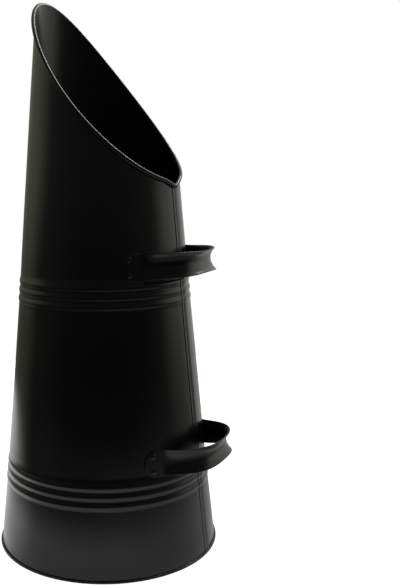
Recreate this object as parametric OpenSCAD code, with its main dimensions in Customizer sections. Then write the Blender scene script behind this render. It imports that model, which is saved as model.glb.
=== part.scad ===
// Tall coal hod in black painted sheet steel, free standing on a round hemmed foot.
// Millimetres, Z up, origin on the floor under the middle of the foot.
// The pouring lip is at -Y, the lock seam and both strap handles are at +Y.

/* [Body] */
// outside diameter of the foot hem, the widest place
foot_d = 270; // [200:1:340]
// thickness of the body and base sheet
sheet_t = 0.8; // [0.6:0.1:1.5]
// radius lost per millimetre of height on the skirt, below the lower beads
skirt_taper = 0.1073; // [0.06:0.001:0.14]
// radius lost per millimetre of height between the two bead groups
belly_taper = 0.0952; // [0.06:0.001:0.13]
// radius lost per millimetre of height above the upper beads
neck_taper = 0.0858; // [0.05:0.001:0.11]

/* [Mouth] */
// height of the tip of the pouring lip, to the wire inside the rolled edge
lip_z = 648; // [560:1:700]
// height of the low side of the mouth at the back, beside the notch
low_z = 438; // [400:1:500]
// how much the two sides of the mouth sag under an even slope
side_sag = 6; // [0:0.5:14]
// how far the slope of the mouth is turned away from the seam, degrees
mouth_turn = 2.8; // [0:0.1:6]
// depth of the small V notch where the rolled edge meets the seam
notch_drop = 6; // [0:0.5:8]
// half the angle that the notch takes at the back
notch_half_angle = 14; // [10:1:24]
// diameter of the stiffening wire in the rolled edge
wire_d = 3; // [1.6:0.1:4]

/* [Beads] */
// height of the middle bead of the lower group
lower_bead_z = 94.4; // [60:0.1:96]
// height of the middle bead of the upper group
upper_bead_z = 313.5; // [240:0.1:315]
// distance from bead to bead in a group
bead_pitch = 10.4; // [9.2:0.1:12]
// width of one raised bead
bead_w = 8; // [5:0.1:9]
// how far a bead stands out of the wall
bead_rise = 1; // [0.3:0.1:1.6]

/* [Seam and base] */
// width of the folded lock seam down the back
seam_w = 11; // [6:0.5:16]
// how far the lock seam stands out of the wall
seam_rise = 1.2; // [0.8:0.1:2.4]
// how far the body's folded edge stands up inside the foot hem
hem_grip = 1; // [0.8:0.1:4]
// height of the base panel above the floor
panel_z = 7; // [5:0.5:14]

/* [Handles] */
// height of the upper handle's pads
upper_handle_z = 345.5; // [344:0.5:385]
// height of the lower handle's pads
lower_handle_z = 127; // [125:0.5:240]
// how far the strap's waist stands out of the wall at the middle
handle_reach = 27.3; // [24:0.1:50]
// half the spread of the two arms, where they leave the wall for the grip
arm_half = 50; // [44:0.5:58]
// how far out of the wall the arms begin to turn into the grip
arm_turn = 20; // [12:0.5:24]
// how square the grip is: half the length that its two corners pull straight
grip_square = 44; // [34:0.5:54]
// half the distance between the rivet columns of the two pads
rivet_half = 71.5; // [66:0.5:76]
// rise of the upper handle from the pads to the grip, degrees
upper_rise = 3.7; // [0:0.1:10]
// rise of the lower handle from the pads to the grip, degrees
lower_rise = 5.6; // [0:0.1:12]
// width of the strap while flat
strap_w = 31; // [24:0.5:32]
// thickness of the strap
strap_t = 1.5; // [1:0.1:2.5]
// radius of the hollow channel pressed into the strap, along the grip
channel_r = 14; // [12:0.1:30]
// radius of the same channel on the two arms, where it is shallower
arm_channel_r = 25; // [16:0.5:40]

/* [Rivets] */
// shank diameter of a handle rivet
rivet_d = 4; // [3:0.1:5]
// head diameter of a handle rivet
rivet_head_d = 6.6; // [6:0.1:9]
// height of the round rivet head
rivet_head_h = 1.8; // [1:0.1:3]
// distance between the two rivets of a pad
rivet_gap = 17; // [13:0.1:19]

/* [Hidden] */
$fn = 96;
seat = 0.05;
slip = 0.1;
hole_slip = 0.2;
body_r = foot_d / 2 - 2 * sheet_t - 4 * slip;
hem_h = 2 * sheet_t + hem_grip;
skirt_top_r = body_r - skirt_taper * lower_bead_z;
belly_top_r = skirt_top_r - belly_taper * (upper_bead_z - lower_bead_z);
bead_steps = 8;
strap_steps = 10;
rim_steps = 96;
rim_start = 0.55;
curl_in = wire_d / 2 + seat;
curl_out = curl_in + sheet_t;
curl_end = -124;
tail_h = 1.1;
tail_d = 1.6 * rivet_d;

// Radius of the plain wall, outside, at height z.
function wall_r(z) =
    z < lower_bead_z ? body_r - skirt_taper * z
    : z < upper_bead_z ? skirt_top_r - belly_taper * (z - lower_bead_z)
    : belly_top_r - neck_taper * (z - upper_bead_z);

// Radius lost per millimetre at height z.
function wall_k(z) =
    z < lower_bead_z ? skirt_taper : z < upper_bead_z ? belly_taper : neck_taper;

// Heights of the six beads, low to high.
bead_z = [for (m = [lower_bead_z, upper_bead_z]) for (i = [-1:1]) m + i * bead_pitch];

// Heights and radii of the beaded wall from z0 to z1, each point moved out by d.
function wall_line(z0, z1, d) = concat(
    [[wall_r(z0) + d, z0]],
    [for (b = bead_z)
        for (i = [0:bead_steps])
            let (z = b + bead_w * (i / bead_steps - 0.5))
                if (z > z0 && z < z1)
                    [wall_r(z) + d + bead_rise * sin(180 * i / bead_steps), z]],
    [[wall_r(z1) + d, z1]]);

function flip(p) = [for (i = [len(p) - 1:-1:0]) p[i]];

// Height of the mouth edge at the angle b from the back.
mouth_mid = (lip_z + low_z) / 2 - side_sag / 2;
mouth_swing = (lip_z - low_z) / 2;
function notch(b) = pow(max(0, 1 - b / notch_half_angle), 1.3);
function mouth_z(b) =
    let (c = b - mouth_turn)
        mouth_mid - mouth_swing * cos(c) + side_sag / 2 * cos(2 * c)
        - notch_drop * notch(abs(b > 180 ? 360 - b : b));

// A point on the mouth edge, on the outside of the wall; b = 0 at the back.
function mouth_at(b) =
    let (z = mouth_z(b), r = wall_r(z))
        [r * sin(b), r * cos(b), z];

function unit(v) = v / norm(v);
function skin_out(b, z) = unit([sin(b), cos(b), wall_k(z)]);
function mouth_run(b) = unit(mouth_at(b + 0.3) - mouth_at(b - 0.3));

// Rings of points carried round the mouth edge; each ring point is [out, up] from the edge.
function rim_ring(b, section) =
    let (
        n = skin_out(b, mouth_z(b)),
        t = mouth_run(b),
        u = unit(cross(n, t)) * (cross(n, t)[2] < 0 ? -1 : 1),
        p = mouth_at(b))
        [for (s = section) p + s[0] * n + s[1] * u];

// Closed skin over equal rings, with flat caps on both ends.
module rings_solid(rings) {
    m = len(rings[0]);
    k = len(rings);
    points = [for (r = rings) for (p = r) p];
    sides = [for (j = [0:k - 2]) for (i = [0:m - 1])
        let (a = j * m + i, b = j * m + (i + 1) % m)
            each [[a, b, b + m], [a, b + m, a + m]]];
    // each cap is a strip of quads between the section's two long sides
    cap = [for (i = [0:m / 2 - 2]) [i, i + 1, m - 2 - i, m - 1 - i]];
    first = [for (q = cap) [for (i = [3:-1:0]) q[i]]];
    last = [for (q = cap) [for (i = q) (k - 1) * m + i]];
    polyhedron(points, concat(sides, first, last), convexity = 8);
}

// A point on the cut edge of the sheet, just under the roll: n out from the outside face,
// at the angle b from the low side of the mouth, and seen in a frame turned with the mouth.
function cut_at(b, n) =
    let (p = rim_ring(b + mouth_turn, [[n, -slip]])[0], c = cos(mouth_turn), s = sin(mouth_turn))
        [c * p[0] - s * p[1], s * p[0] + c * p[1], p[2]];

// Turning points between the cut seen from the back, from the side and from the front.
cut_back = notch_half_angle + mouth_turn + 2;
cut_front = 120;
cut_step = 2.5;
cut_lap = 0.4;

// Region above a line of [along, z] points.
module above_line(line) {
    polygon(concat([[line[0][0], lip_z + 90]], line, [[line[len(line) - 1][0], lip_z + 90]]));
}

// Everything above the mouth edge, as three prisms: V notch, long sides, front of the lip.
module above_mouth() {
    // the V's lowest point is one of these
    notch_reach = cut_back + mouth_turn;
    notch_n = 2 * ceil(notch_reach / 1.5);
    back = [for (i = [0:notch_n]) cut_at(notch_reach * (1 - 2 * i / notch_n) - mouth_turn, 0)];
    side_n = ceil((cut_front - cut_back) / cut_step);
    side = [for (i = [0:side_n])
        let (b = cut_back + (cut_front - cut_back) * i / side_n)
            cut_at(b, b < 90 ? -sheet_t : 0)];
    front_n = 2 * ceil((180 - cut_front) / cut_step);
    front = [for (i = [0:front_n])
        let (b = cut_front + (360 - 2 * cut_front) * i / front_n) cut_at(b, -sheet_t)];
    y_back = side[0][1];
    y_front = side[side_n][1];
    far = foot_d;
    rotate([0, 0, -mouth_turn]) {
        // long sides: along X, lapping the notch a little
        rotate([90, 0, 90])
            translate([0, 0, -far])
                linear_extrude(height = 2 * far)
                    above_line(concat([[y_back + cut_lap, side[0][2]]],
                                      [for (p = side) [p[1], p[2]]]));
        // V notch: along Y, behind the long sides
        translate([0, far, 0])
            rotate([90, 0, 0])
                linear_extrude(height = far - y_back)
                    above_line(concat([[far, back[0][2]]], [for (p = back) [p[0], p[2]]],
                                      [[-far, back[notch_n][2]]]));
        // front of the lip: along Y, ahead of the long sides and lapping them a little
        translate([0, y_front + cut_lap, 0])
            rotate([90, 0, 0])
                linear_extrude(height = far + y_front + cut_lap)
                    above_line(concat([[far, front[0][2]]], [for (p = front) [p[0], p[2]]],
                                      [[-far, front[front_n][2]]]));
    }
}

module rivet_axis(z, side, up) {
    b = asin(rivet_half / wall_r(z));
    k = atan(wall_k(z));
    s = up * rivet_gap / 2;
    zz = z + s * cos(k);
    rr = wall_r(z) - s * sin(k);
    rotate([0, 0, 90 - side * b])
        translate([rr, 0, zz])
            rotate([0, 90 - k, 0])
                children();
}

module all_rivet_axes(z) {
    for (side = [-1, 1])
        for (up = [-1, 1])
            rivet_axis(z, side, up)
                children();
}

module rivet_hole() {
    translate([0, 0, -6])
        cylinder(d = rivet_d + hole_slip, h = 14);
}

// Body sheet: three tapers, six beads, edge folded back on itself at the foot.
module body_shell() {
    z0 = sheet_t + slip;
    z1 = lip_z + 12;
    fold_top = hem_h - sheet_t - slip;
    outer = wall_line(fold_top, z1, 0);
    inner = wall_line(z0, z1, -sheet_t);
    fold = [[wall_r(z0) + sheet_t, z0], [wall_r(fold_top) + sheet_t, fold_top]];
    color([0.09, 0.09, 0.09])
        difference() {
            rotate_extrude()
                polygon(concat(fold, outer, flip(inner)));
            above_mouth();
            all_rivet_axes(upper_handle_z)
                rivet_hole();
            all_rivet_axes(lower_handle_z)
                rivet_hole();
        }
}

// Folded lock seam, pressed with the beads, from the hem up to the notch.
module back_lock_seam() {
    z0 = hem_h + slip;
    z1 = mouth_z(0) - curl_out - 0.7;
    color([0.11, 0.11, 0.11])
        intersection() {
            rotate_extrude()
                polygon(concat(wall_line(z0, z1, seam_rise), flip(wall_line(z0, z1, 0))));
            translate([-seam_w / 2, 0, 0])
                cube([seam_w, foot_d, lip_z]);
        }
}

// Base pan: raised panel, wall inside the body, hem wrapped round the body's folded edge.
module base_pan() {
    t = sheet_t;
    in = t + slip;
    soft = 0.45;
    crown = 0.75 * sheet_t + 0.5;
    leg = t + 2 * slip;
    full = foot_d / 2;
    top_r = full - skirt_taper * hem_h;
    color([0.08, 0.08, 0.08])
        rotate_extrude()
            polygon([
                [0, panel_z],
                [wall_r(panel_z) - in - t - 1.5, panel_z],
                [wall_r(panel_z) - in - t, panel_z - 1.5],
                [wall_r(0) - in - t, 0],
                [full - soft, 0],
                [full - soft * 0.3, soft * 0.3],
                [full, soft],
                [top_r, hem_h - crown],
                [top_r - crown * (1 - cos(30)), hem_h - crown * (1 - sin(30))],
                [top_r - crown * (1 - cos(60)), hem_h - crown * (1 - sin(60))],
                [top_r - crown, hem_h],
                [wall_r(hem_h) + seat, hem_h],
                [wall_r(hem_h - t) + seat, hem_h - t],
                [wall_r(hem_h - t) + leg, hem_h - t],
                [wall_r(t) + leg, t],
                [wall_r(t) - in, t],
                [wall_r(panel_z) - in, panel_z - 1.5 + t],
                [wall_r(panel_z) - in - 1.5, panel_z + t],
                [0, panel_z + t]]);
}

// Mouth edge rolled outward round the wire, open where it comes back to the wall.
module mouth_rolled_edge() {
    steps = 9;
    arc = [for (i = [0:steps]) 180 + (curl_end - 180) * i / steps];
    section = concat(
        [for (a = arc) [curl_in + curl_out * cos(a), curl_out * sin(a)]],
        [for (a = flip(arc)) [curl_in + curl_in * cos(a), curl_in * sin(a)]]);
    span = 360 - 2 * rim_start;
    color([0.12, 0.12, 0.12])
        rings_solid([for (i = [0:rim_steps])
            rim_ring(rim_angle(i / rim_steps, span), section)]);
}

// Angles round the mouth, closer together near the notch.
function rim_angle(f, span) = rim_start + span * (f - 0.09 * sin(360 * f) / (2 * PI) * 6);

module rim_wire() {
    section = [for (a = [0:45:315]) [curl_in + wire_d / 2 * cos(a), wire_d / 2 * sin(a)]];
    span = 360 - 2 * rim_start;
    color([0.35, 0.35, 0.35])
        rings_solid([for (i = [0:rim_steps])
            rim_ring(rim_angle(i / rim_steps, span), flip(section))]);
}

// Strap path in plan for the right half, as [y, x] from the pad's end to the middle.
pad_in = rivet_half - 9;
pad_out = rivet_half + 8;
arm_start = 9;
channel_run = 0.35;
function pad_angle(z, x) = asin(x / (wall_r(z) + seat));
function ease(f) = f * f * (3 - 2 * f);

// Point at the share f of a smooth curve drawn by its guide points.
function curve_at(p, f) =
    len(p) == 1 ? p[0] : curve_at([for (i = [0:len(p) - 2]) p[i] * (1 - f) + p[i + 1] * f], f);

// Strap stations: [y, x, channel share, half width, share of the way from arm to grip]
function strap_half(z) =
    let (
        r = wall_r(z) + seat,
        b0 = pad_angle(z, pad_out),
        b1 = pad_angle(z, pad_in),
        p0 = [r * cos(b1), r * sin(b1)],
        p1 = p0 + arm_start * [sin(b1), -cos(b1)],
        crown = r + handle_reach,
        guide = [p0, p1, [r + arm_turn, arm_half], [crown, grip_square], [crown, 0]])
        concat(
            [for (i = [0:8])
                let (f = i / 8, b = b0 + (b1 - b0) * ease_out(f))
                    [r * cos(b), r * sin(b), 0, pad_width(f), 0]],
            [for (i = [1:20])
                let (f = i / 20, q = curve_at(guide, f))
                    [q[0], q[1], ease(min(1, f / channel_run)), strap_w / 2,
                     ease(max(0, (f - channel_run) / (1 - channel_run)))]]);

function ease_out(f) = f < 0.5 ? 0.62 * f * f / 0.25 * 0.5 : 0.31 + 0.69 * (f - 0.5) / 0.5;
function pad_width(f) =
    let (g = min(1, ease_out(f) / 0.5))
        strap_w / 2 * (0.3 + 0.7 * sqrt(1 - pow(1 - g, 2)));

function both_halves(h) = concat(h, [for (i = [len(h) - 2:-1:0])
    [h[i][0], -h[i][1], h[i][2], h[i][3], h[i][4]]]);

// One strap handle: D-shaped pads on the wall, channel section flared outward along the grip.
module strap_handle(z, rise) {
    path = both_halves(strap_half(z));
    k = wall_k(z);
    y_pad = (wall_r(z) + seat) * cos(pad_angle(z, pad_in));
    last = len(path) - 1;
    rings = [for (j = [0:last])
        let (
            q = path[j],
            a = path[max(0, j - 1)],
            b = path[min(last, j + 1)],
            run = unit([b[0] - a[0], b[1] - a[1]]),
            on_pad = q[2] == 0,
            angle = atan2(q[1], q[0]),
            // outward in plan, [y, x]
            out = on_pad ? [cos(angle), sin(angle)] : [-run[1], run[0]],
            m = q[2],
            lean_pad = unit([-k * cos(angle), -k * sin(angle), 1]),
            lean_arm = unit([-k, 0, 1]),
            w = unit((1 - m) * lean_pad + m * lean_arm),
            c = [q[0], q[1], z + max(0, q[0] - y_pad) * tan(rise) * m],
            bend = m / (arm_channel_r + (channel_r - arm_channel_r) * q[4]),
            top = [for (i = [0:strap_steps])
                let (s = q[3] * (2 * i / strap_steps - 1), d = bend * s * 180 / PI)
                    bend == 0 ? [0, s, 0] : [(1 - cos(d)) / bend, sin(d) / bend, d]])
            concat(
                [for (p = top)
                    strap_point(c, out, w, p[0], p[1])],
                [for (p = flip(top))
                    strap_point(c, out, w, p[0] + strap_t * cos(p[2]), p[1] - strap_t * sin(p[2]))])];
    color([0.1, 0.1, 0.1])
        difference() {
            rings_solid(rings);
            all_rivet_axes(z)
                rivet_hole();
        }
}

function strap_point(c, out, w, n, s) =
    let (p = c + [out[0], out[1], 0] * n + w * s)
        [p[1], p[0], p[2]];

module upper_handle() {
    strap_handle(upper_handle_z, upper_rise);
}

module lower_handle() {
    strap_handle(lower_handle_z, lower_rise);
}

// Round-headed rivet through strap and wall, with its closed tail inside the hod.
module rivet() {
    seat_z = seat + strap_t + 0.06;
    ball_r = (pow(rivet_head_d / 2, 2) + pow(rivet_head_h, 2)) / (2 * rivet_head_h);
    inside = sheet_t + 0.06;
    cap_z = seat_z + rivet_head_h - ball_r;
    intersection() {
        translate([0, 0, cap_z])
            sphere(r = ball_r);
        translate([0, 0, seat_z])
            cylinder(d = 2 * ball_r, h = rivet_head_h + 1);
    }
    translate([0, 0, -inside - tail_h / 2])
        cylinder(d = rivet_d, h = inside + tail_h / 2 + seat_z + rivet_head_h / 4);
    translate([0, 0, -inside - tail_h])
        cylinder(d1 = tail_d - 0.8, d2 = tail_d, h = tail_h);
}

module upper_handle_rivets() {
    color([0.13, 0.13, 0.13])
        all_rivet_axes(upper_handle_z)
            rivet();
}

module lower_handle_rivets() {
    color([0.13, 0.13, 0.13])
        all_rivet_axes(lower_handle_z)
            rivet();
}

body_shell();
back_lock_seam();
base_pan();
mouth_rolled_edge();
rim_wire();
upper_handle();
lower_handle();
upper_handle_rivets();
lower_handle_rivets();
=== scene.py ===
import math

import bmesh
import bpy
import numpy as np
from mathutils import Matrix, Vector


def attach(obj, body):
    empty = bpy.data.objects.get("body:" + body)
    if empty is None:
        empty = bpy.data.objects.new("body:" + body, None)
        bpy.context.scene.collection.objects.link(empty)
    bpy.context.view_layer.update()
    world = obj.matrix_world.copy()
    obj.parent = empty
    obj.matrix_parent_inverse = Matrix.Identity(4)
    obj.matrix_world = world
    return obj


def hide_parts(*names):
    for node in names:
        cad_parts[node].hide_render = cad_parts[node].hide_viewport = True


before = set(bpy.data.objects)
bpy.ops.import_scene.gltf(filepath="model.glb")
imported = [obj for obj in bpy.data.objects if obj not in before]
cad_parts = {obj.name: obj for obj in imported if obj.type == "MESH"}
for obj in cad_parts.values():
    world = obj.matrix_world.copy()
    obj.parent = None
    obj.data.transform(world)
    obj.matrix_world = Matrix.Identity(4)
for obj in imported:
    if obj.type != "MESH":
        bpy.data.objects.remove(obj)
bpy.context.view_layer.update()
MM = 0.001

# Sizes of the hod, in mm
SHEET = 0.8
FOOT_R = 135.0                          # outside of the foot hem
BODY_R = 133.0                          # outside of the wall, carried down to the floor
TAPERS = (0.1073, 0.0952, 0.0858)       # radius lost per mm of height: skirt, belly, neck
LOWER_BEAD, UPPER_BEAD = 94.4, 313.5    # middle bead of each group of three
BEAD_PITCH, BEAD_W, BEAD_RISE = 10.4, 8.0, 1.0
LIP_Z, LOW_Z, SIDE_SAG = 648.0, 438.0, 6.0
MOUTH_TURN = 2.8                        # degrees that the mouth's slope turns from the seam
NOTCH_DROP = 6.0
NOTCH_HALF, NOTCH_CURVE = 14.0, 1.3     # degrees to each side of the seam, power of its flanks
WIRE_R = 1.5
CURL_IN = WIRE_R + 0.05                 # inside and outside radius of the roll
CURL_OUT = CURL_IN + SHEET
SEAM_W, SEAM_RISE = 11.0, 1.2
HEM_H, PANEL_Z = 2 * SHEET + 1.0, 7.0
STRAP_W, STRAP_T, STRAP_EDGE_R = 31.0, 1.5, 0.55
GRIP_CHANNEL_R, ARM_CHANNEL_R = 14.0, 25.0
REACH, ARM_HALF, ARM_TURN, GRIP_SQUARE = 27.3, 50.0, 20.0, 44.0
PAD_END, PAD_BEND = 8.0, 9.0            # from the rivets to the pad's free end and to its bend
RIVET_HALF, RIVET_GAP = 71.5, 17.0      # rivets from the hod's middle plane, and from each other
RIVET_D, HEAD_D, HEAD_H = 4.0, 6.6, 1.8
UPPER_HANDLE = (345.5, 3.7)             # height of the pads' middle, rise of the arms in degrees
LOWER_HANDLE = (127.0, 5.6)
SEAT = 0.05                             # slip between wall and strap
SKIRT_TOP_R = BODY_R - TAPERS[0] * LOWER_BEAD
BELLY_TOP_R = SKIRT_TOP_R - TAPERS[1] * (UPPER_BEAD - LOWER_BEAD)
BEADS = np.array([m + k * BEAD_PITCH for m in (LOWER_BEAD, UPPER_BEAD) for k in (-1, 0, 1)])
BEAD_ROWS = (BEADS[:, None] + BEAD_W * np.linspace(-0.5, 0.5, 13)).ravel()

# unevenness of the sheet: depth, waves round the hod, radians per mm of height, start in radians
WAVES = ((0.10, 3, 0.011, 0.7), (0.07, 5, -0.017, 2.1), (0.04, 9, 0.029, 4.0), (0.05, 2, 0.041, 0))
# degrees round from the seam, height, width in degrees, height of the dent, depth
DENTS = ((150, 205, 15, 46, 0.28), (118, 396, 12, 52, 0.22), (70, 260, 13, 40, 0.18),
         (232, 176, 14, 44, 0.30))
# where the sheet is calm, and the run over which that fades: from the seam in degrees, from the
# foot and from the mouth in mm
CALM_SEAM, CALM_FOOT, CALM_MOUTH = (8, 20), (8, 30), (6, 40)
PAD_CALM_B, PAD_CALM_Z = 16.0, 34.0     # calm round a pad: degrees and mm


# The wall and the mouth
def wall_radius(z):
    """Outside radius of the plain wall: three straight tapers, changing at the two bead groups."""
    z = np.asarray(z, float)
    skirt = BODY_R - TAPERS[0] * z
    belly = SKIRT_TOP_R - TAPERS[1] * (z - LOWER_BEAD)
    neck = BELLY_TOP_R - TAPERS[2] * (z - UPPER_BEAD)
    return np.where(z < LOWER_BEAD, skirt, np.where(z < UPPER_BEAD, belly, neck))


def wall_taper(z):
    """Radius lost per millimetre of height at z."""
    z = np.asarray(z, float)
    return np.where(z < LOWER_BEAD, TAPERS[0], np.where(z < UPPER_BEAD, TAPERS[1], TAPERS[2]))


def bead_bulge(z):
    """How far the six beads push the wall out: half a sine wave, BEAD_W wide, for each bead."""
    d = np.abs(np.asarray(z, float)[..., None] - BEADS) / BEAD_W
    return (BEAD_RISE * np.cos(np.pi * np.minimum(d, 0.5))).sum(-1)


def notch(b):
    """Share of the V notch at b degrees from the seam: 1 at the seam, 0 from NOTCH_HALF on."""
    return np.maximum(0, 1 - np.abs(b) / NOTCH_HALF) ** NOTCH_CURVE


def from_seam(b):
    """Angle from the seam, 0 to 180 degrees on either side."""
    return np.abs((np.asarray(b, float) + 180) % 360 - 180)


def mouth_height(b):
    """Height of the cut edge: a cosine slope from back to lip, turned MOUTH_TURN degrees away from
    the seam, a slight sag of the sides, and the notch at the seam."""
    a = np.radians(np.asarray(b, float) - MOUTH_TURN)
    mid = (LIP_Z + LOW_Z) / 2 - SIDE_SAG / 2
    slope = mid - (LIP_Z - LOW_Z) / 2 * np.cos(a) + SIDE_SAG / 2 * np.cos(2 * a)
    return slope - NOTCH_DROP * notch(from_seam(b))


def ramp(value, start, run):
    """0 up to start, then straight up to 1 over the next run."""
    return np.clip((value - start) / run, 0, 1)


def calm(b, z):
    """1 on open wall, fading to 0 at the seam, the foot, the mouth and the four pads: the product
    of one straight ramp for each."""
    c = from_seam(b)
    side, foot = ramp(c, *CALM_SEAM), ramp(z, *CALM_FOOT)
    top = ramp(mouth_height(b) - z, *CALM_MOUTH)
    pads = 1.0
    for pad_z, _ in (UPPER_HANDLE, LOWER_HANDLE):
        pad_b = np.degrees(np.arcsin(RIVET_HALF / wall_radius(pad_z)))
        near = ((c - pad_b) / PAD_CALM_B) ** 2 + ((z - pad_z) / PAD_CALM_Z) ** 2
        pads = pads * ramp(near, start=1, run=1)
    return side * foot * top * pads


def unevenness(b, z):
    """Hand-rolled unevenness of the sheet, in mm: long waves, each a sine of angle and height, and
    shallow dents, each a bell curve, all faded by calm."""
    b = np.asarray(b, float)
    a = np.radians(b)
    waves = sum(deep * np.sin(turns * a + climb * z + start)
                for deep, turns, climb, start in WAVES)
    dents = 0.0
    for at, height, wide, tall, deep in DENTS:
        d = ((b - at + 180) % 360 - 180) / wide
        dents = dents - deep * np.exp(-d ** 2 - ((z - height) / tall) ** 2)
    return (waves + dents) * calm(b, z)


def around(b, r, z):
    """Points at b degrees from the seam, seen from above, at radius r and height z."""
    r, z, a = np.broadcast_arrays(r, z, np.radians(b))
    return np.stack([r * np.sin(a), r * np.cos(a), z], -1)


# Making meshes from grids
def band_quads(index):
    """Faces between neighbouring rows of point numbers, where every row closes on itself."""
    a, b = index[:-1], index[1:]
    return np.stack([a, np.roll(a, -1, 1), np.roll(b, -1, 1), b], -1).reshape(-1, 4)


def turned_quads(steps, count):
    """Faces of an open outline of count points carried once round in steps."""
    a = np.arange(steps * count).reshape(steps, count)
    b = np.roll(a, -1, 0)
    return np.stack([a[:, :-1], a[:, 1:], b[:, 1:], b[:, :-1]], -1).reshape(-1, 4)


def turned(profile, steps):
    """Rings of a profile of (radius, height) carried once round the Z axis."""
    b = np.linspace(0, 360, steps, endpoint=False)[:, None]
    return around(b, profile[None, :, 0], profile[None, :, 1])


def closed_ends(rings):
    """Adds an end ring to both ends of a folded sheet: each point goes halfway to its partner on
    the sheet's other face, which is as far from the end of the ring as it is from the start."""
    def lid(ring):
        return (ring + ring[::-1]) / 2

    return np.concatenate([lid(rings[0])[None], rings, lid(rings[-1])[None]])


def pinched_ends(rings):
    """Adds an end ring to both ends, drawn together to the middle of the ring beside it."""
    first, last = (np.repeat(ring.mean(0)[None, None], rings.shape[1], 1)
                   for ring in (rings[0], rings[-1]))
    return np.concatenate([first, rings, last])


def mesh_of(name, points, faces):
    """Mesh in metres from points in mm."""
    mesh = bpy.data.meshes.new(name)
    mesh.from_pydata((points * MM).tolist(), [], faces.tolist())
    return mesh


def grid_piece(name, points, wrap_rings, material, node, crease):
    """One piece from a grid of points (rings, points in a ring, xyz) in mm.
    Every ring is a closed loop; with wrap_rings the last ring joins the first, and otherwise
    an end ring that has no width closes the end when doubles are merged."""
    rings, count = points.shape[:2]
    index = np.arange(rings * count).reshape(rings, count)
    if wrap_rings:
        index = np.concatenate([index, index[:1]])
    faces = band_quads(index)
    finish_piece(name, points.reshape(-1, 3), faces, material, node, crease)


def finish_piece(name, points, faces, material, node, crease):
    """Mesh object in metres at the origin: doubles merged, faces turned outwards, smooth shaded
    but for edges sharper than crease degrees, and riding where its CAD node rides."""
    mesh = mesh_of(name, points, faces)
    work = bmesh.new()
    work.from_mesh(mesh)
    bmesh.ops.remove_doubles(work, verts=work.verts, dist=1e-7)
    bmesh.ops.dissolve_degenerate(work, edges=work.edges, dist=1e-8)
    bmesh.ops.recalc_face_normals(work, faces=work.faces)
    work.to_mesh(mesh)
    work.free()
    mesh.shade_smooth()
    mesh.set_sharp_from_angle(angle=math.radians(crease))
    piece = bpy.data.objects.new(name, mesh)
    bpy.context.scene.collection.objects.link(piece)
    mesh.materials.append(material)
    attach(piece, "root")
    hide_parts(node)


# Shader maths
class Wire:
    """A socket that can be used in Python sums; each operator adds its Math node."""

    def __init__(self, tree, socket):
        self.tree, self.socket = tree, socket

    def node(self, kind, settings=None, inputs=None, out=0):
        """Any node in this socket's tree, as add_node makes it."""
        return add_node(self.tree, kind, settings, inputs, out)

    def maths(self, operation, *values):
        """Math node on the values alone; this socket only says in which tree."""
        return self.node("ShaderNodeMath", {"operation": operation}, dict(enumerate(values)))

    def __add__(self, other):
        return self.maths("ADD", self, other)

    def __sub__(self, other):
        return self.maths("SUBTRACT", self, other)

    def __rsub__(self, other):
        return self.maths("SUBTRACT", other, self)

    def __mul__(self, other):
        return self.maths("MULTIPLY", self, other)

    def __truediv__(self, other):
        return self.maths("DIVIDE", self, other)

    def __pow__(self, other):
        return self.maths("POWER", self, other)

    __radd__, __rmul__ = __add__, __mul__

    def larger(self, other):
        """The larger of the two at every point."""
        return self.maths("MAXIMUM", self, other)

    def between(self, low, high):
        """0 below low, 1 above high, smooth in between."""
        return self.node("ShaderNodeMapRange", {"interpolation_type": "SMOOTHSTEP"},
                         {"Value": self, "From Min": low, "From Max": high})


def add_node(tree, kind, settings=None, inputs=None, out=0):
    """Any node: its type, its settings, then the values or links of its sockets by name or place.
    Gives the output whose place is out."""
    node = tree.nodes.new(kind)
    for key, value in (settings or {}).items():
        setattr(node, key, value)
    for key, value in (inputs or {}).items():
        if isinstance(value, Wire):
            tree.links.new(value.socket, node.inputs[key])
        else:
            node.inputs[key].default_value = value
    return Wire(tree, node.outputs[out])


def grey(value):
    """Colour whose red, green and blue are all value."""
    return (value, value, value, 1.0)


def mixed(tree, factor, first, second):
    """Colour mix: first where factor is 0, second where it is 1."""
    return add_node(tree, "ShaderNodeMix", {"data_type": "RGBA"},
                    {"Factor": factor, 6: first, 7: second}, out=2)


def grains(tree, place, scale, detail, rough):
    """Noise pattern, about scale grains to the metre, with detail finer layers, each rough times
    as strong as the one before."""
    return add_node(tree, "ShaderNodeTexNoise", None,
                    {"Vector": place, "Scale": scale, "Detail": detail, "Roughness": rough})


def new_material(name):
    """Empty material, its node tree and its output node."""
    material = bpy.data.materials.new(name)
    material.use_nodes = True
    tree = material.node_tree
    tree.nodes.clear()
    return material, tree, tree.nodes.new("ShaderNodeOutputMaterial")


# Paint and wire
BLACK, DUSTY = (0.0012, 0.0012, 0.00115, 1.0), (0.0032, 0.0031, 0.0028, 1.0)
RUBBED = (0.09, 0.085, 0.08, 1.0)
WIRE_BRIGHT, WIRE_DULL = (0.42, 0.42, 0.43, 1.0), (0.20, 0.19, 0.18, 1.0)
RUNS_DOWN = (30.0, 30.0, 4.0)           # scale that stretches a pattern in height
PEEL_DEPTH, MARK_DEPTH = 0.00006, 0.00004


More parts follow.
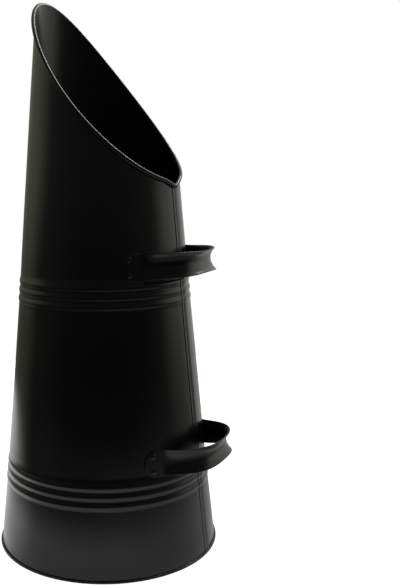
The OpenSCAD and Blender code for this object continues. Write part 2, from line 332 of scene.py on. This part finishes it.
def satin_paint(name, gloss, peel=0.25, worn=0.0, worn_z=None):
    """Baked black paint: a fine orange peel, slow changes of gloss, and a little dust, each a sum
    of noise patterns. Gloss is the shader's roughness; worn adds tiny rubbed flecks, which fade
    out on the way up to the height worn_z."""
    material, tree, output = new_material(name)
    place = add_node(tree, "ShaderNodeTexCoord", out=3)
    cloud = grains(tree, place, scale=9.0, detail=3.0, rough=0.55)
    smear = add_node(tree, "ShaderNodeMapping", None, {"Vector": place, "Scale": RUNS_DOWN})
    streak = grains(tree, smear, scale=1.0, detail=3.0, rough=0.6)
    speck = grains(tree, place, scale=620.0, detail=2.0, rough=0.6)
    dust = cloud.between(0.42, 0.75) * 0.5 + streak.between(0.5, 0.8) * 0.35
    dust = dust * speck.between(0.2, 0.8)
    colour = mixed(tree, dust, BLACK, DUSTY)
    rough = gloss + (cloud - 0.5) * 0.10 + (streak - 0.5) * 0.06 + dust * 0.04
    if worn:
        scratch = grains(tree, place, scale=260.0, detail=4.0, rough=0.7).between(0.60, 0.66)
        up = add_node(tree, "ShaderNodeSeparateXYZ", None, {0: place}, out=2)
        flecks = scratch * (1 - up.between(worn_z * 0.2, worn_z)) * worn
        colour = mixed(tree, flecks, colour, RUBBED)
    fine = grains(tree, place, scale=420.0, detail=1.0, rough=0.4) * 0.7
    finest = grains(tree, place, scale=1500.0, detail=1.0, rough=0.5) * 0.3
    bump = add_node(tree, "ShaderNodeBump", None,
                    {"Strength": peel, "Distance": PEEL_DEPTH, "Height": fine + finest})
    shader = add_node(tree, "ShaderNodeBsdfPrincipled", None,
                      {"Base Color": colour, "Roughness": rough, "Metallic": 0.0, "IOR": 1.5,
                       "Normal": bump})
    tree.links.new(shader.socket, output.inputs["Surface"])
    return material


def drawn_wire(name):
    """Drawn steel wire: bright metal with fine marks and a dull film."""
    material, tree, output = new_material(name)
    place = add_node(tree, "ShaderNodeTexCoord", out=3)
    film = grains(tree, place, scale=90.0, detail=3.0, rough=0.6).between(0.4, 0.7)
    colour = mixed(tree, film, WIRE_BRIGHT, WIRE_DULL)
    marks = grains(tree, place, scale=900.0, detail=2.0, rough=0.5)
    bump = add_node(tree, "ShaderNodeBump", None,
                    {"Strength": 0.2, "Distance": MARK_DEPTH, "Height": marks})
    shader = add_node(tree, "ShaderNodeBsdfPrincipled", None,
                      {"Base Color": colour, "Roughness": film * 0.2 + 0.28, "Metallic": 1.0,
                       "Normal": bump})
    tree.links.new(shader.socket, output.inputs["Surface"])
    return material


paint_outside = satin_paint("satin black on the body", gloss=0.23)
paint_mouth = satin_paint("satin black on the rolled edge", gloss=0.24, peel=0.08)
paint_foot = satin_paint("satin black on the foot", gloss=0.24, worn=0.5, worn_z=0.004)
paint_straps = satin_paint("satin black on the straps", gloss=0.24)
paint_rivets = satin_paint("satin black on the rivets", gloss=0.25)
wire_metal = drawn_wire("drawn steel wire")


# Body sheet
def body_sheet():
    """The wall turned round the Z axis: its radius is the plain wall's plus the beads' bulge plus
    the unevenness, which outside is times the cosine of the wall's slope, less the sheet inside.
    Outside rows run from the foot to the mouth: level rows up to plain_top, with extra rows on
    the beads, then rows that share out the height left to the mouth. Inside rows, half as many
    above the foot, come back down. Columns crowd towards the seam: even angles less a sine."""
    cut_edge, plain_top, foot_top, crowd, lip_crowd = 0.9, 372.0, 40, 0.45, 0.9
    level = np.concatenate([np.linspace(cut_edge, plain_top, 30), BEAD_ROWS])
    level = np.unique(np.round(level, 2))
    shares = np.linspace(0, 1, 26)[1:] ** lip_crowd
    t = np.linspace(0, 2 * np.pi, 420, endpoint=False)
    b = np.degrees(t - crowd * np.sin(t))[:, None]

    def heights(rows, up):
        below = np.broadcast_to(rows, (len(b), len(rows)))
        return np.concatenate([below, plain_top + (mouth_height(b) - plain_top) * up[None, :]], 1)

    inner_level = level[(level < foot_top) | (np.arange(len(level)) % 2 == 0)]
    z_out = heights(level, shares)
    z_in = heights(inner_level, shares[::2])[:, ::-1]
    lean_out = 1 / np.sqrt(1 + wall_taper(z_out) ** 2)
    r_out = wall_radius(z_out) + bead_bulge(z_out) + unevenness(b, z_out) * lean_out
    r_in = wall_radius(z_in) + bead_bulge(z_in) + unevenness(b, z_in) - SHEET
    points = np.concatenate([around(b, r_out, z_out), around(b, r_in, z_in)], 1)
    grid_piece("body_sheet", points, True, paint_outside, "body_shell", crease=40)


# Rolled mouth edge and its wire
def mouth_frames(b):
    """For each angle: point on the outside of the wall at the mouth, the wall's outward normal,
    and the direction up the wall square to the edge, which is the cross product of the normal and
    of the edge's run between half_step before and half_step after."""
    def edge(a):
        z = mouth_height(a)
        return around(a, wall_radius(z), z)

    half_step = 0.3
    run = edge(b + half_step) - edge(b - half_step)
    run /= np.linalg.norm(run, axis=-1, keepdims=True)
    a = np.radians(b)
    normal = np.stack([np.sin(a), np.cos(a), wall_taper(mouth_height(b))], -1)
    normal /= np.linalg.norm(normal, axis=-1, keepdims=True)
    up = np.cross(normal, run)
    up *= np.where(up[..., 2:] < 0, -1, 1) / np.linalg.norm(up, axis=-1, keepdims=True)
    return edge(b), normal, up


def carried_round_mouth(section, steps):
    """Section of (out, up) points carried round the mouth from one side of the notch to the other:
    the edge's point, plus out times the normal, plus up times the direction up the wall. Rings are
    closer together near the notch: even angles less a sine."""
    end_gap, crowd = 0.55, 0.54
    f = np.linspace(0, 1, steps)
    b = end_gap + (360 - 2 * end_gap) * (f - crowd * np.sin(2 * np.pi * f) / (2 * np.pi))
    point, normal, up = mouth_frames(b)
    return point[:, None] + section[:, :1] * normal[:, None] + section[:, 1:] * up[:, None]


def mouth_roll():
    """The sheet's edge carried over the wire: an arc of 304 degrees, from the wall's inner face
    over the top and back to the wall."""
    arc = np.radians(np.linspace(180, -124, 40))
    outer = np.stack([CURL_IN + CURL_OUT * np.cos(arc), CURL_OUT * np.sin(arc)], -1)
    inner = np.stack([CURL_IN + CURL_IN * np.cos(arc), CURL_IN * np.sin(arc)], -1)[::-1]
    rings = carried_round_mouth(np.concatenate([outer, inner]), 380)
    grid_piece("mouth_roll", closed_ends(rings), False, paint_mouth,
               "mouth_rolled_edge", crease=50)


def mouth_wire():
    """Round wire inside the roll: a circle carried round the mouth."""
    a = np.linspace(0, 2 * np.pi, 16, endpoint=False)
    section = np.stack([CURL_IN + WIRE_R * np.cos(a), WIRE_R * np.sin(a)], -1)
    rings = carried_round_mouth(section, 300)
    grid_piece("mouth_wire", pinched_ends(rings), False, wire_metal, "rim_wire",
               crease=50)


# Lock seam
def lock_seam():
    """Strip of folded sheet down the back. Across, it climbs from a low shoulder on the +X side,
    past a thin groove where the folded edge ends, to its full height at the other shoulder; the
    shoulders are quarter ellipses, and the groove is a bell curve. Along, it follows the beaded
    wall, and its top follows the V of the mouth just under the roll."""
    hem_gap, roll_gap, under_roll = 0.1, 0.7, CURL_OUT * 1.06 + 0.12
    low, high = HEM_H + hem_gap, float(mouth_height(0.0)) - CURL_OUT - roll_gap
    shoulder_w, low_share, climb, climb_from, top_fit = 0.9, 0.5, 0.46, 0.1, 20
    groove_at, groove_w, groove_deep = 0.08, 0.06, 0.28
    off_wall, thinnest, slack = 0.01, 0.02, 0.01
    rows = np.unique(np.round(np.concatenate([np.linspace(low, high, 90), BEAD_ROWS]), 2))
    rows = rows[(rows >= low - slack) & (rows <= high + slack)]
    across = np.concatenate([np.linspace(*span) for span in (
        (-1, -0.8, 8), (-0.74, -0.08, 7), (-0.04, 0.2, 9), (0.26, 0.8, 6), (0.84, 1, 7))])
    x = across * SEAM_W / 2
    shoulder = ramp(SEAM_W / 2 - np.abs(x), start=0, run=shoulder_w)
    face = SEAM_RISE * (low_share + climb * ramp(climb_from - across, start=0, run=1))
    rise = face * np.sqrt(np.maximum(0, 1 - (1 - shoulder) ** 2))
    rise = rise - groove_deep * np.exp(-((across - groove_at) / groove_w) ** 2)
    rise = np.maximum(rise, thinnest)
    b = np.degrees(x / float(wall_radius(high)))
    lift = mouth_height(b) - under_roll - high
    z = rows[:, None] + ramp(rows - high, start=-top_fit, run=top_fit)[:, None] * lift
    base = wall_radius(z) + bead_bulge(z)

    def face_points(off):
        return np.stack(np.broadcast_arrays(x, np.sqrt((base + off) ** 2 - x ** 2), z), -1)

    rings = np.concatenate([face_points(rise), face_points(off_wall)[:, ::-1]], 1)
    grid_piece("lock_seam", closed_ends(rings), False, paint_outside,
               "back_lock_seam", crease=60)


# Base pan and foot hem
def base_pan():
    """Half outline of the pan turned once round: raised panel with a pressed ring, whose hollow is
    a sine squared; a wall inside the body; and the thin hem that wraps the body's folded edge,
    with a quarter circle above and one at the floor."""
    t, clear, slip, fold = SHEET, SHEET + 0.1, 0.05, SHEET + 0.2
    hem_r, low_round, top_round = FOOT_R - 0.03, 0.4, 1.2
    press_deep, press_in, press_w = 1.6, 0.80, 0.08
    bend, bend_mid, foot_bend = 1.5, 0.4, 0.35
    hem_top_r = hem_r - TAPERS[0] * HEM_H

    def wall(z):
        return BODY_R - TAPERS[0] * z

    a = np.linspace(0, 0.5 * np.pi, 7)
    bulge = np.concatenate([
        np.stack([hem_r - low_round + low_round * np.sin(a),
                  low_round - low_round * np.cos(a)], -1),
        np.stack([hem_top_r - top_round + top_round * np.cos(a),
                  HEM_H - top_round + top_round * np.sin(a)], -1)])
    panel_r = wall(PANEL_Z) - clear - t
    foot_r = wall(0) - clear - t
    ring = np.linspace(0, 1, 13)
    pressed = np.stack([panel_r * (press_in + press_w * ring),
                        PANEL_Z - press_deep * np.sin(np.pi * ring) ** 2], -1)
    under = np.array([(panel_r - bend, PANEL_Z), (panel_r - bend_mid, PANEL_Z - bend_mid),
                      (panel_r, PANEL_Z - bend), (foot_r, foot_bend), (foot_r + foot_bend, 0)])
    inner_hem = np.array([(wall(HEM_H) + slip, HEM_H), (wall(HEM_H - t) + slip, HEM_H - t),
                          (wall(HEM_H - t) + fold, HEM_H - t), (wall(t) + fold, t),
                          (wall(t) - clear, t)])
    over = np.array([(panel_r + t, PANEL_Z - bend + t),
                     (panel_r + t - bend_mid, PANEL_Z + t - bend_mid),
                     (panel_r + t - bend, PANEL_Z + t)])
    profile = np.concatenate([[(0, PANEL_Z)], pressed, under, bulge, inner_hem, over,
                              (pressed + (0, t))[::-1], [(0, PANEL_Z + t)]])
    rings = turned(profile, 300)
    finish_piece("foot_pan", rings.reshape(-1, 3), turned_quads(*rings.shape[:2]), paint_foot,
                 "base_pan", crease=55)


# Strap handles
def smooth(f):
    """Soft step from 0 to 1: three times f squared, less two times f cubed."""
    return f * f * (3 - 2 * f)


def guided(points, f):
    """Bezier curve on the guide points, at each share f: the binomial sum of the points."""
    n = len(points) - 1
    weights = [math.comb(n, k) * (1 - f) ** (n - k) * f ** k for k in range(n + 1)]
    return np.stack(weights, -1) @ np.asarray(points, float)


def strap_path(z):
    """Half of the strap from the end of its pad to the middle of the grip: the pad is an arc on
    the wall, its end rounded much like an ellipse, and arm and grip are one Bezier curve. Returns
    the plan path as (y, x), the channel share, the half width, and the share of the way from arm
    to grip."""
    end_round, end_power, tip, crowd, leave, full_channel = 13.5, 2.2, 0.02, 1.6, 9, 0.35
    r = float(wall_radius(z)) + SEAT
    pad_out, pad_in = (math.asin((RIVET_HALF + d) / r) for d in (PAD_END, -PAD_BEND))
    f = np.linspace(0, 1, 26) ** crowd
    b = pad_out + (pad_in - pad_out) * f
    pad = np.stack([r * np.cos(b), r * np.sin(b)], -1)
    g = np.clip(f * (PAD_END + PAD_BEND) / end_round, 0, 1)
    pad_w = STRAP_W / 2 * (tip + (1 - tip) * (1 - (1 - g) ** end_power) ** 0.5)
    start = pad[-1]
    guide = [start, start + leave * np.array([math.sin(pad_in), -math.cos(pad_in)]),
             (r + ARM_TURN, ARM_HALF), (r + REACH, GRIP_SQUARE), (r + REACH, 0)]
    s = np.linspace(0, 1, 61)[1:]
    channel = smooth(ramp(s, start=0, run=full_channel))
    grip = smooth(ramp(s, start=full_channel, run=1 - full_channel))
    on_pad = np.zeros(len(f))
    return (np.concatenate([pad, guided(guide, s)]), np.concatenate([on_pad, channel]),
            np.concatenate([pad_w, np.full(len(s), STRAP_W / 2)]), np.concatenate([on_pad, grip]))


def strap_section():
    """Outline of the flat strap's section, once round. For each point: its share of the half width
    less the rounded edge, and how far the rounding carries it sideways and outwards, in mm."""
    corner = np.linspace(0, 0.5 * np.pi, 4)
    side = np.linspace(-1, 1, 19)
    face, edge = np.zeros(len(side)), np.ones(2 * len(corner))
    in_side, in_out = STRAP_EDGE_R * np.sin(corner), STRAP_EDGE_R * (1 - np.cos(corner))
    out_side, out_out = STRAP_EDGE_R * np.cos(corner), STRAP_EDGE_R * np.sin(corner)
    share = np.concatenate([side, edge, side[::-1], -edge])
    sideways = np.concatenate([face, in_side, out_side, face, -in_side, -out_side])
    outwards = np.concatenate([face, in_out, STRAP_T - STRAP_EDGE_R + out_out,
                               face + STRAP_T, STRAP_T - in_out, STRAP_EDGE_R - out_out])
    return share, sideways, outwards


def strap_handle(name, node, z, rise):
    """Flat strap bent along the path. Across, each station is the section wrapped on a circle that
    curves away from the wall: channel share over the channel's radius."""
    least_half, least_bend = 0.02, 1e-5
    path, channel, half, grip = strap_path(z)
    path = np.concatenate([path, (path * (1, -1))[-2::-1]])
    channel, half, grip = (np.concatenate([v, v[-2::-1]])[:, None] for v in (channel, half, grip))
    run = np.gradient(path, axis=0)
    run /= np.linalg.norm(run, axis=1)[:, None]
    angle = np.arctan2(path[:, 1], path[:, 0])
    out_pad = np.stack([np.cos(angle), np.sin(angle)], -1)
    out = np.where(channel == 0, out_pad, np.stack([-run[:, 1], run[:, 0]], -1))
    k = float(wall_taper(z))
    ones, zeros = np.ones(len(path)), np.zeros(len(path))
    lean_pad = np.stack([-k * np.cos(angle), -k * np.sin(angle), ones], -1)
    lean_arm = np.stack([-k * ones, zeros, ones], -1)
    lean_pad, lean_arm = (v / np.linalg.norm(v, axis=1)[:, None] for v in (lean_pad, lean_arm))
    across = lean_pad * (1 - channel) + lean_arm * channel
    across /= np.linalg.norm(across, axis=1)[:, None]
    r = float(wall_radius(z)) + SEAT
    start_y = r * math.cos(math.asin((RIVET_HALF - PAD_BEND) / r))
    climb = np.maximum(0, path[:, :1] - start_y) * math.tan(math.radians(rise)) * channel

    share, sideways, outwards = strap_section()
    s = share * np.maximum(half - STRAP_EDGE_R, least_half) + sideways
    channel_r = ARM_CHANNEL_R + (GRIP_CHANNEL_R - ARM_CHANNEL_R) * grip
    bend = np.maximum(channel, least_bend) / channel_r
    turn = s * bend
    off = (1 - np.cos(turn)) / bend + outwards * np.cos(turn)
    up = np.sin(turn) / bend - outwards * np.sin(turn)
    rings = np.stack([path[:, 1:] + out[:, 1:] * off + across[:, 1:2] * up,
                      path[:, :1] + out[:, :1] * off + across[:, :1] * up,
                      z + climb + across[:, 2:] * up], -1)
    grid_piece(name, pinched_ends(rings), False, paint_straps, node, crease=48)


# Rivets
def rivet_rings():
    """Half outline of a rivet turned once round its axis: a domed head, whose radius follows a
    power of the sine while its height follows the cosine, its soft rim, the shank, and the tail
    closed inside the hod."""
    slip, rim, rim_low, soft, fullness = 0.06, 0.25, 0.08, 0.15, 0.92
    tail_r, tail_h, tail_edge, tail_flat = 0.8 * RIVET_D, 1.1, 0.25, 0.6
    seat, inside = SEAT + STRAP_T + slip, -SHEET - slip
    a = np.linspace(0, 0.5 * np.pi, 12)
    dome = np.stack([HEAD_D / 2 * np.sin(a) ** fullness,
                     seat + rim + (HEAD_H - rim) * np.cos(a)], -1)
    rest = np.array([(HEAD_D / 2, seat + rim_low), (HEAD_D / 2 - soft, seat), (RIVET_D / 2, seat),
                     (RIVET_D / 2, inside), (tail_r - soft, inside), (tail_r, inside - soft),
                     (tail_r - tail_edge, inside - tail_h + tail_edge),
                     (tail_r - tail_flat, inside - tail_h), (0, inside - tail_h)])
    return turned(np.concatenate([dome, rest]), 32)


def rivets(name, node, z):
    """Four rivets, each turned so that its axis is square to the wall at its place: tipped back by
    the wall's slope, then swung to the angle whose sine is RIVET_HALF over the wall's radius."""
    rings = rivet_rings()
    one = rings.reshape(-1, 3)
    r = float(wall_radius(z))
    b = math.asin(RIVET_HALF / r)
    k = math.atan(float(wall_taper(z)))
    tip = Matrix.Rotation(math.radians(90) - k, 3, "Y")
    points = []
    for side in (-1, 1):
        swing = Matrix.Rotation(math.radians(90) - side * b, 3, "Z")
        for s in (-RIVET_GAP / 2, RIVET_GAP / 2):
            place = swing @ Vector((r - s * math.sin(k), 0, z + s * math.cos(k)))
            points.append(one @ np.array(swing @ tip).T + np.array(place))
    quads = turned_quads(*rings.shape[:2])
    quads = np.concatenate([quads + i * len(one) for i in range(len(points))])
    finish_piece(name, np.concatenate(points), quads, paint_rivets, node, crease=50)


body_sheet()
mouth_roll()
mouth_wire()
lock_seam()
base_pan()
strap_handle("upper_strap", "upper_handle", *UPPER_HANDLE)
strap_handle("lower_strap", "lower_handle", *LOWER_HANDLE)
rivets("upper_rivets", "upper_handle_rivets", UPPER_HANDLE[0])
rivets("lower_rivets", "lower_handle_rivets", LOWER_HANDLE[0])


# Floor, light and camera
# All in metres. BACK is straight ahead of the camera along the floor, RIGHT to its right.
UP = Vector((0, 0, 1))
VIEW = Vector((-0.8832, -0.4464, -0.1438)).normalized()
BACK = Vector((VIEW.x, VIEW.y, 0)).normalized()
RIGHT = BACK.cross(UP)
FLOOR_RADII, FLOOR_Z = (0.001, 300, 600, 1000), -0.2    # mm
# name, place along BACK, RIGHT and UP, watts
SOFT_BOXES = (("soft box behind", 1.0, 0.95, 1.6, 5.5), ("soft box above", 0.57, 0.714, 1.97, 4.5))
BOX_SIZE, BOX_AIM = 0.36, Vector((0, 0, 0.3))
# tints of what reflections see of the room
TINT_CAMERA_SIDE = (0.88, 1.0, 0.92, 1.0)
TINT_LEFT, TINT_RIGHT = (1.0, 0.985, 0.79, 1.0), (1.0, 1.0, 0.94, 1.0)
FRAME_PX, FOCAL_PX, SHIFT_PX = 587, 783.75, 72.28       # the picture's longer side is FRAME_PX
SENSOR, EYE, ROLL = 36.0, (0.8285, 0.4499, 0.4406), -0.0129


def along(place, direction):
    """How far place lies along direction: their dot product."""
    return add_node(place.tree, "ShaderNodeVectorMath", {"operation": "DOT_PRODUCT"},
                    {0: place, 1: tuple(direction)}, out=1)


def light_path(tree):
    """Whether a ray comes from the camera, and whether a glossy or clear surface sent it."""
    path = tree.nodes.new("ShaderNodeLightPath")
    seen, glossy, through = (Wire(tree, path.outputs[n]) for n in
                             ("Is Camera Ray", "Is Glossy Ray", "Is Transmission Ray"))
    return seen, glossy.larger(through)


def floor_glow(place):
    """What reflections see of the floor: how much of it covers the room beyond, and how bright it
    is, as painted light that glows only for reflections. It shines round the foot, dimmer within
    0.25 m and close to the hem, which is painted shadow of the hod and of its hem, and dimmer to
    the right; in a round patch at the back left; and in a faint ring on the camera's side, which
    the upper beads mirror."""
    ahead, right = along(place, BACK), along(place, RIGHT)
    reach = (ahead ** 2 + right ** 2) ** 0.5
    near_foot = 1 - (reach - right * 0.1).between(0.26, 0.48)
    # dimmer within 0.25 m of the middle: painted shadow of the hod on the floor's glow
    near_foot = near_foot * (reach.between(0.17, 0.25) * 0.22 + 0.78)
    # darker still right at the hem: painted shadow of the hem on the floor's glow
    near_foot = near_foot * (reach.between(0.1355, 0.139) * 0.6 + 0.4)
    from_patch = ((ahead - 0.42) ** 2 + (right + 0.32) ** 2) ** 0.5
    back_left = 1 - from_patch.between(0.2, 0.48)
    ring = reach.between(0.5, 0.56) * (1 - reach.between(0.62, 0.7))
    ring = ring * right.between(-0.5, 0.2) * 0.37
    far_out = ring.larger(reach.between(0.56, 0.72) * 0.13)
    far_out = far_out * (1 - ahead.between(-0.35, 0.05)) * (1 - reach.between(0.9, 0.99))
    cover = near_foot.larger(back_left).larger(far_out)
    lift = ahead.between(-0.12, -0.03) * (1 - right.between(-0.16, -0.06)) * 0.55
    foot_glow = near_foot * (lift + 0.76 - right.between(0.02, 0.22) * 0.22)
    patch_glow = back_left * (1.25 - right.between(-0.45, 0) * 0.65)
    return cover, foot_glow.larger(patch_glow).larger(far_out)


def white_floor():
    """Round white sheet under the hod. The camera sees it white, with the hod's shadow; reflections
    see its glow, which is painted light with a painted shadow round the foot, and the dim room
    beyond where the glow doesn't cover it."""
    material, tree, output = new_material("white floor")
    seen, shiny = light_path(tree)
    cover, bright = floor_glow(add_node(tree, "ShaderNodeTexCoord", out=3))
    paper = add_node(tree, "ShaderNodeBsdfDiffuse", None, {"Color": grey(0.78)})
    glow = add_node(tree, "ShaderNodeEmission", None, {"Color": grey(1.0), "Strength": seen * 0.8})
    both = add_node(tree, "ShaderNodeAddShader", None, {0: paper, 1: glow})
    beyond = add_node(tree, "ShaderNodeBsdfTransparent")
    # painted light: the floor glows for reflections, with the painted shadow round the foot
    lit = add_node(tree, "ShaderNodeEmission", None,
                   {"Color": grey(1.0), "Strength": bright / (cover + 0.001)})
    image = add_node(tree, "ShaderNodeMixShader", None, {0: cover, 1: beyond, 2: lit})
    surface = add_node(tree, "ShaderNodeMixShader", None, {0: shiny, 1: both, 2: image})
    tree.links.new(surface.socket, output.inputs["Surface"])
    b = np.linspace(0, 360, 96, endpoint=False)
    rings = np.stack([around(b, r, FLOOR_Z) for r in FLOOR_RADII])
    index = np.arange(rings.size // 3).reshape(rings.shape[:2])
    mesh = mesh_of("floor_sheet", rings.reshape(-1, 3), band_quads(index))
    mesh.materials.append(material)
    floor = bpy.data.objects.new("floor_sheet", mesh)
    bpy.context.scene.collection.objects.link(floor)


def studio():
    """White room to the camera. Reflections see a pale backdrop behind the hod, brighter on the
    right and at the height of the mouth, a dark room on the camera's side, and a dim ceiling."""
    world = bpy.data.worlds.new("studio")
    bpy.context.scene.world = world
    world.use_nodes = True
    tree = world.node_tree
    tree.nodes.clear()
    output = tree.nodes.new("ShaderNodeOutputWorld")
    seen, shiny = light_path(tree)
    place = add_node(tree, "ShaderNodeTexCoord", out=0)
    ahead, right, height = along(place, BACK), along(place, RIGHT), along(place, UP)
    low_down = 1 - height.between(0.0, 0.14)
    left_side = (ahead - low_down * 0.27).between(-0.2, 0.3) - ahead.between(0.42, 0.75) * 0.45
    left_side = left_side * (height.between(-0.12, 0.04) * 0.18 + 0.14)
    right_side = ahead.between(-0.3, 0.2) * (height.between(-0.17, 0.05) * 0.42 + 0.17)
    right_end = ahead.between(0.4, 0.75) * (1 - height.between(-0.12, 0.03)) * 0.36
    on_right = right.between(-0.25, 0.25)
    ceiling = height.between(-0.04, 0.16) * 0.06 - height.between(0.25, 0.45) * 0.03
    room = ahead.between(-1.0, -0.2) * 0.05 + ceiling + 0.008
    mirrored = left_side * (1 - on_right) + (right_side + right_end) * on_right + room
    strength = seen + (1 - seen) * (shiny * mirrored + (1 - shiny) * 0.55)
    tint = mixed(tree, ahead.between(-0.25, 0.15), TINT_CAMERA_SIDE, TINT_LEFT)
    tint = mixed(tree, on_right, tint, TINT_RIGHT)
    tint = mixed(tree, shiny, grey(1.0), tint)
    light = add_node(tree, "ShaderNodeBackground", None, {"Color": tint, "Strength": strength})
    tree.links.new(light.socket, output.inputs["Surface"])


def soft_box(name, back, right, up, watts):
    """Square lamp turned towards BOX_AIM."""
    lamp = bpy.data.lights.new(name, "AREA")
    lamp.shape, lamp.size, lamp.energy = "SQUARE", BOX_SIZE, watts
    box = bpy.data.objects.new(name, lamp)
    box.location = BACK * back + RIGHT * right + UP * up
    box.rotation_euler = (BOX_AIM - box.location).to_track_quat("-Z", "Y").to_euler()
    bpy.context.scene.collection.objects.link(box)


def camera():
    """The photograph's camera, solved from the foot, the wall and the mouth. Its lens is the focal
    length in pixels over the picture's longer side, times the sensor; its axis meets the picture
    left of the middle, because the picture is cropped from a wider one."""
    lens = bpy.data.cameras.new("camera")
    lens.sensor_fit, lens.sensor_width = "AUTO", SENSOR
    lens.lens = FOCAL_PX / FRAME_PX * SENSOR
    lens.shift_x = SHIFT_PX / FRAME_PX
    level_right = VIEW.cross(UP).normalized()
    level_up = level_right.cross(VIEW)
    right = level_right * math.cos(ROLL) + level_up * math.sin(ROLL)
    up = -level_right * math.sin(ROLL) + level_up * math.cos(ROLL)
    eye = bpy.data.objects.new("camera", lens)
    turn = Matrix((right, up, -VIEW)).transposed().to_4x4()
    eye.matrix_world = Matrix.Translation(EYE) @ turn
    bpy.context.scene.collection.objects.link(eye)
    bpy.context.scene.camera = eye


white_floor()
studio()
for box in SOFT_BOXES:
    soft_box(*box)
camera()
bpy.context.scene.view_settings.view_transform = "Standard"
